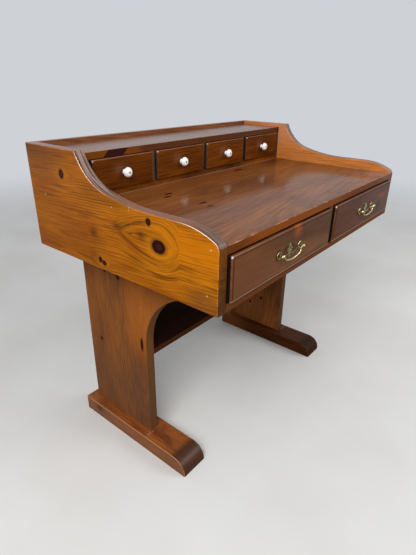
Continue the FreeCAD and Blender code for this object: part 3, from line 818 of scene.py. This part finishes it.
def front_marks(name, ends, margin=0.0):
    """The marks of a front: coloured ends, painted shade in its gaps, a quirk darkened with stain and
    painted shade where its field is raised, and painted highlights on its edges.
    """
    low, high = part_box(name)
    middle = (low + high) / 2
    shade_starts = 0.0074 if margin else 0.0086
    shade_starts_at_ends = 0.0040 if margin else 0.0070
    shade_stops = 0.0140

    def border(board):
        """How far the surface is from the front's outline."""
        aside = (board.along - middle.x).size() * -1.0 + (high.x - low.x) / 2
        above = (board.across - middle.z).size() * -1.0 + (high.z - low.z) / 2
        return aside.least(above)

    def end(board):
        return board.normal["X"].size().rise(0.4, 0.8)

    def gap_shade(board):
        """Near-black painted shade on the edges round the front, nearer to the face at its ends."""
        behind = board.depth - low.y
        shade_band = window(behind, shade_starts, shade_stops, 0.0010)
        return shade_band.most(window(behind, shade_starts_at_ends, shade_stops, 0.0010) * end(board))

    def inner_face(board):
        return board.normal["Y"].rise(0.5, 0.9)

    # The quirk is darkened by gathered stain and by painted shade along the field's edge.
    def quirk_stain_and_shade(board):
        return window(border(board), margin - 0.003, margin + 0.0004, 0.0006) * board.faced.rise(0.5, 0.9)

    def chip_and_glint(board):
        """A near-white spot at the upper left corner: a painted highlight on the rounded corner, over bare
        wood where a bunch of keys would hit it.
        """
        by_the_face = board.depth.rise(low.y + 0.0040, low.y + 0.0025)
        return board.spot(high.z - corner_inset, low.x + corner_inset, 0.0024) * by_the_face

    # The top edge is paler: dust, and a painted highlight on what faces up.
    def top_edge_dust_and_glint(board):
        uneven = board.stretched(50.0, 30.0, 2.0, 61.0).rise(0.3, 0.6, 0.5, 1.0)
        return board.upward.rise(0.35, 0.8) * uneven

    def low_line_glint(board):
        """A thin pale line along the lower edge: a painted highlight on its rounded arris."""
        return window(board.across, low.z + 0.0022, low.z + 0.0044, 0.0008) * board.faced.rise(0.3, 0.6)

    def hand_haze(board):
        """A greyish bloom beside the knob, where fingertips touch the varnish."""
        return board.spot(middle.z + 0.009, middle.x - 0.017, 0.013, 1.3)

    end_mark = (ends, 0.85, end)
    behind_marks = [(painted_gap_shade, 0.95, gap_shade), (bare_brown, 0.9, inner_face)]
    if margin:
        return [(umber, 0.7, quirk_stain_and_shade), end_mark, *behind_marks,
                (colour(188, 156, 134), 0.7, low_line_glint), (colour(250, 246, 240), 0.9, chip_and_glint)]
    return [end_mark, (colour(146, 100, 76), 0.9, top_edge_dust_and_glint), (colour(134, 92, 70), 0.4, hand_haze),
            *behind_marks, (colour(220, 212, 204), 0.6, chip_and_glint)]


print(f"marks for fronts whose margin is 0 or {raised_margin * 1000:.0f} mm")


# %% Marks on the large fronts
def dark_top(board):
    """Darker stain along the top of the left front, deeper towards the right."""
    height = board.across + (board.along + 0.3) * 0.1
    return height.rise(0.690, 0.722) * board.along.rise(-0.40, -0.33)


def warm_end(board):
    """The warmer left half of the left front."""
    return board.along.rise(-0.16, -0.36)


def ember(board):
    """An orange patch where the stain was rubbed thin, by the top of the left front."""
    return window(board.along, -0.214, -0.184, 0.014) * board.across.rise(0.700, 0.738)


def ember_mark(board):
    """The dark mark at the end of the patch."""
    return board.spot(0.714, -0.169, 0.006, 0.4)


def bruise(board):
    """A dark spot beside the right pull."""
    return board.spot(0.6790, 0.3580, 0.0150, 1.5)


def flame(board):
    """Reddish streaks over that spot."""
    return board.spot(0.7080, 0.3880, 0.007, 6.0)


def pull_dirt_and_shade(drawer):
    """A mask for the dark ring round the two rosettes and the leaf of a pull: gathered wax, and painted
    shade round the plate.
    """
    low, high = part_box(drawer + "_pull_plate")
    middle = (low + high) / 2
    rosette_radius = 0.010
    rosette = (high.x - low.x) / 2 - rosette_radius

    def dirt_and_shade(board):
        near = board.distance(middle.z, middle.x - rosette, 0.0130)
        near = near.least(board.distance(middle.z, middle.x + rosette, 0.0130))
        near = near.least(board.distance(middle.z, middle.x, 0.0150, 2.0))
        return near.rise(0.80, 1.15, 1.0, 0.0)

    return dirt_and_shade


left_front_marks = [(colour(40, 14, 0), 0.5, dark_top), (colour(120, 68, 26), 0.5, warm_end),
                    (colour(176, 84, 12), 0.65, ember), (colour(46, 22, 12), 0.6, ember_mark)]
right_front_marks = [(colour(22, 20, 32), 1.0, bruise), (colour(138, 68, 34), 0.6, flame)]
print(f"{len(left_front_marks)} and {len(right_front_marks)} marks on the large fronts")

# %% Drawer fronts and boxes
small_brown = (colour(113, 57, 10), colour(54, 24, 4), colour(72, 33, 5))
large_brown = (colour(122, 76, 44), colour(80, 46, 26), colour(98, 60, 38))
large_dark = (colour(95, 50, 24), colour(54, 27, 14), colour(72, 38, 22))
box_pine = (colour(206, 164, 106), colour(170, 116, 62), colour(188, 142, 86))
large_fronts = {"left_drawer": (large_brown, colour(86, 46, 26), left_front_marks),
                "right_drawer": (large_dark, colour(96, 50, 20), right_front_marks)}
for number, (drawer, (tones, ends, marks)) in enumerate(large_fronts.items()):
    name = drawer + "_front"
    dirt_and_shade_mark = (colour(56, 32, 20), 0.7, pull_dirt_and_shade(drawer))
    finishes[name] = pine(
        name + "_pine", "X", "Y", tones, colour(92, 54, 34), heart=(0.52 + 0.02 * number, -0.40),
        tilt=(0.01, 0.012), seed=30.0 + number, contrast=0.5, rubbed_glint=colour(138, 92, 68),
        gloss=0.5, shine=0.18, marks=[*marks, dirt_and_shade_mark, *front_marks(name, ends, raised_margin)])
for number in range(1, 5):
    name = f"small_drawer_{number}_front"
    finishes[name] = pine(
        name + "_pine", "X", "Y", small_brown, colour(84, 44, 18), heart=(0.70 + 0.01 * number, 0.24),
        tilt=(0.02, -0.02), seed=40.0 + number, contrast=0.6, rubbed_glint=colour(118, 80, 54),
        gloss=0.5, shine=0.03, marks=front_marks(name, colour(70, 52, 42)))
bare = pine("bare_pine", "Y", "X", box_pine, colour(176, 126, 74), heart=(0.3, 0.0), seed=50.0,
            gloss=0.0, shine=0.2, dull=0.3, contrast=0.7)
print(f"{len(finishes)} boards finished, and one bare finish for the boxes")

# %% [markdown]
# ## Metal and porcelain
# The pulls are old brass: bright where hands rub them, nearly black in the hollows, which lie
# close to the wood, and darkened with painted shade where they face down or towards the wood. The
# knobs are white porcelain, which is a coat over a faintly warm body.
# Screws are tarnished steel. All three vary in fine even noise, which has no grain.


# %% Brass
bright_brass = colour(232, 216, 160)
hollow_and_shade_brass = colour(48, 37, 16)


def even_noise(place, waves, seed, detail, roughness=0.5):
    """Noise with as many waves to the metre in every direction."""
    x, y, z = split(place)
    return noise(joined(x * waves, y * waves, z * waves), seed, detail, roughness)


def brass_finish(name, hollow_start, hollow_end, relief):
    """Old brass that darkens towards the wood, between two places along Y, with painted shade on faces
    turned down or towards the wood.
    """
    material, place = new_finish(name)
    grime = even_noise(place, 220.0, 1.0, 4.0, 0.6)
    cast = even_noise(place, 300.0, 6.0, 1.0).rise(0.45, 0.55)
    normal = split(place.add("ShaderNodeTexCoord", {}, {}, "Normal"))
    hollow = (split(place)[1] + grime * 0.0012).rise(hollow_start, hollow_end)
    # Painted shade: faces turned towards the wood and faces turned down are darkened.
    turned_in_shade = (normal[1] + grime * 0.5).rise(0.1, 0.6)
    under = (normal[2] + grime * 0.4).rise(-0.5, 0.2, 0.7, 0.0)
    patina_and_shade = hollow.most(turned_in_shade).most(under).most(cast * relief)
    sockets = {"Base Color": place.blended(patina_and_shade, bright_brass, hollow_and_shade_brass),
               "Metallic": patina_and_shade.rise(0.0, 1.0, 1.0, 0.7), "Roughness": grime.rise(0.3, 0.7, 0.18, 0.38)}
    return surfaced(material, place, sockets, grime, 0.0003)


wood_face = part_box("left_drawer_front")[0].y
plate_brass = brass_finish("plate_brass", wood_face - 0.0012, wood_face + 0.0004, 0.8)
post_brass = brass_finish("post_brass", wood_face - 0.0060, wood_face - 0.0030, 0.3)
bail_brass = brass_finish("bail_brass", wood_face - 0.0080, wood_face + 0.0100, 0.35)
print(f"three brasses before a front at {wood_face:.3f} m")


# %% Porcelain and steel
def porcelain_finish(name):
    """Glazed white porcelain with a few warm specks."""
    material, place = new_finish(name)
    speck = even_noise(place, 300.0, 2.0, 3.0)
    base = place.blended(speck.rise(0.5, 0.85), colour(254, 254, 252), colour(246, 243, 236))
    sockets = {"Base Color": base, "Roughness": speck.rise(0.3, 0.7, 0.12, 0.2), "Coat Weight": 0.6,
               "Coat Roughness": 0.04}
    return surfaced(material, place, sockets, speck, 0.0001)


def steel_finish(name):
    """Tarnished steel."""
    material, place = new_finish(name)
    tarnish = even_noise(place, 500.0, 3.0, 3.0)
    base = place.blended(tarnish.rise(0.3, 0.7), colour(150, 144, 130), colour(92, 84, 72))
    sockets = {"Base Color": base, "Metallic": 0.8, "Roughness": tarnish.rise(0.3, 0.7, 0.35, 0.6)}
    return surfaced(material, place, sockets, tarnish, 0.0002)


porcelain = porcelain_finish("porcelain")
steel = steel_finish("tarnished_steel")
print("porcelain and steel ready")

# %% [markdown]
# ## Dressing the pieces
# Every piece keeps its shape and takes its finish by name. Whatever part of a drawer isn't its
# front or its fittings is bare pine, and so are the guides and the stops.

# %% Dressing
fittings = {"pull_plate": plate_brass, "pull_posts": post_brass, "bail": bail_brass, "knob": porcelain,
            "screw": steel}


def finish_for(name):
    """A board's own finish, a fitting's finish by its ending, or bare pine."""
    if name in finishes:
        return finishes[name]
    for ending, finish in fittings.items():
        if name.endswith(ending):
            return finish
    return bare


for name, piece in nodes.items():
    piece.data.materials.clear()
    piece.data.materials.append(finish_for(name))
print(f"{len(nodes)} pieces dressed in {len(bpy.data.materials)} finishes")

# %% [markdown]
# ## Floor, surround and lamps
# A pale matt floor carries the desk's soft shadow and fades into a plain pale surround, so no
# horizon shows. The floor is paler to the camera than to the light that bounces off it, so the
# underside of the desk stays dark. Two broad lamps give soft light at a level where a colour
# looks as written: a key from the upper left, as in the photograph, and a fill from the front.

# %% Floor
floor_reach = 5.0
fade_start = 2.0
fade_end = 4.6


def floor_finish():
    """A matt floor that fades into the surround."""
    material, place = new_finish("pale_floor")
    x, y, z = split(place)
    away = (x * x + y * y).root()
    grain = noise(joined(x * 2.2, y * 2.2, z), 4.0, 5.0)
    pale = place.blended(grain.rise(0.3, 0.7), colour(232, 231, 228), colour(224, 222, 218))
    seen = place.add("ShaderNodeLightPath", {}, {}, "Is Camera Ray")
    base = place.blended(seen, colour(150, 146, 140), pale)
    shader = place.add("ShaderNodeBsdfPrincipled", {}, {"Base Color": base, "Roughness": 0.9,
                                                        "Specular IOR Level": 0.0})
    clear = place.add("ShaderNodeBsdfTransparent", {}, {})
    faded = place.add("ShaderNodeMixShader", {}, {0: away.rise(fade_start, fade_end), 1: shader, 2: clear})
    output = place.tree.nodes.new("ShaderNodeOutputMaterial")
    place.tree.links.new(faded.socket, output.inputs["Surface"])
    return material


floor_mesh = bpy.data.meshes.new("floor")
corners = [(sx * floor_reach, sy * floor_reach, 0) for sx, sy in ((-1, -1), (1, -1), (1, 1), (-1, 1))]
floor_mesh.from_pydata(corners, [], [(0, 1, 2, 3)])
floor = bpy.data.objects.new("floor", floor_mesh)
floor.data.materials.append(floor_finish())
bpy.context.scene.collection.objects.link(floor)
print(f"floor laid, {2 * floor_reach:.0f} m across")

# %% Surround
light_level = 0.62
seen_level = 0.98
surround = bpy.data.worlds.new("surround")
bpy.context.scene.world = surround
surround.use_nodes = True
sky_tree = surround.node_tree
sky_tree.nodes.clear()
rays = sky_tree.nodes.new("ShaderNodeLightPath").outputs
seen = Wire(sky_tree, rays["Is Camera Ray"])
for ray in ("Is Glossy Ray", "Is Transmission Ray"):
    seen = seen.most(Wire(sky_tree, rays[ray]))
height = split(seen.add("ShaderNodeTexCoord", {}, {}, "Generated"))[2]
overhead = height.rise(0.2, 0.55, 1.0, 0.5)
strength = seen * (overhead * seen_level - light_level) + light_level
sky = seen.add("ShaderNodeBackground", {}, {"Color": colour(208, 211, 216), "Strength": strength})
sky_end = sky_tree.nodes.new("ShaderNodeOutputWorld")
sky_tree.links.new(sky.socket, sky_end.inputs["Surface"])
print(f"surround lights at {light_level} and shows at {seen_level}")


# %% Lamps
def lamp(name, place, power, side):
    """A broad square lamp that faces the middle of the desk."""
    data = bpy.data.lights.new(name, "AREA")
    data.shape = "SQUARE"
    data.size = side
    data.energy = power
    lamp_object = bpy.data.objects.new(name, data)
    lamp_object.location = place
    towards = Vector((0, 0, 0.6)) - Vector(place)
    lamp_object.rotation_euler = towards.to_track_quat("-Z", "Y").to_euler()
    bpy.context.scene.collection.objects.link(lamp_object)


lamp("key", place=(-2.6, -1.2, 2.8), power=90, side=1.8)
lamp("fill", place=(1.6, -2.6, 2.2), power=42, side=1.8)
print("lamps set")
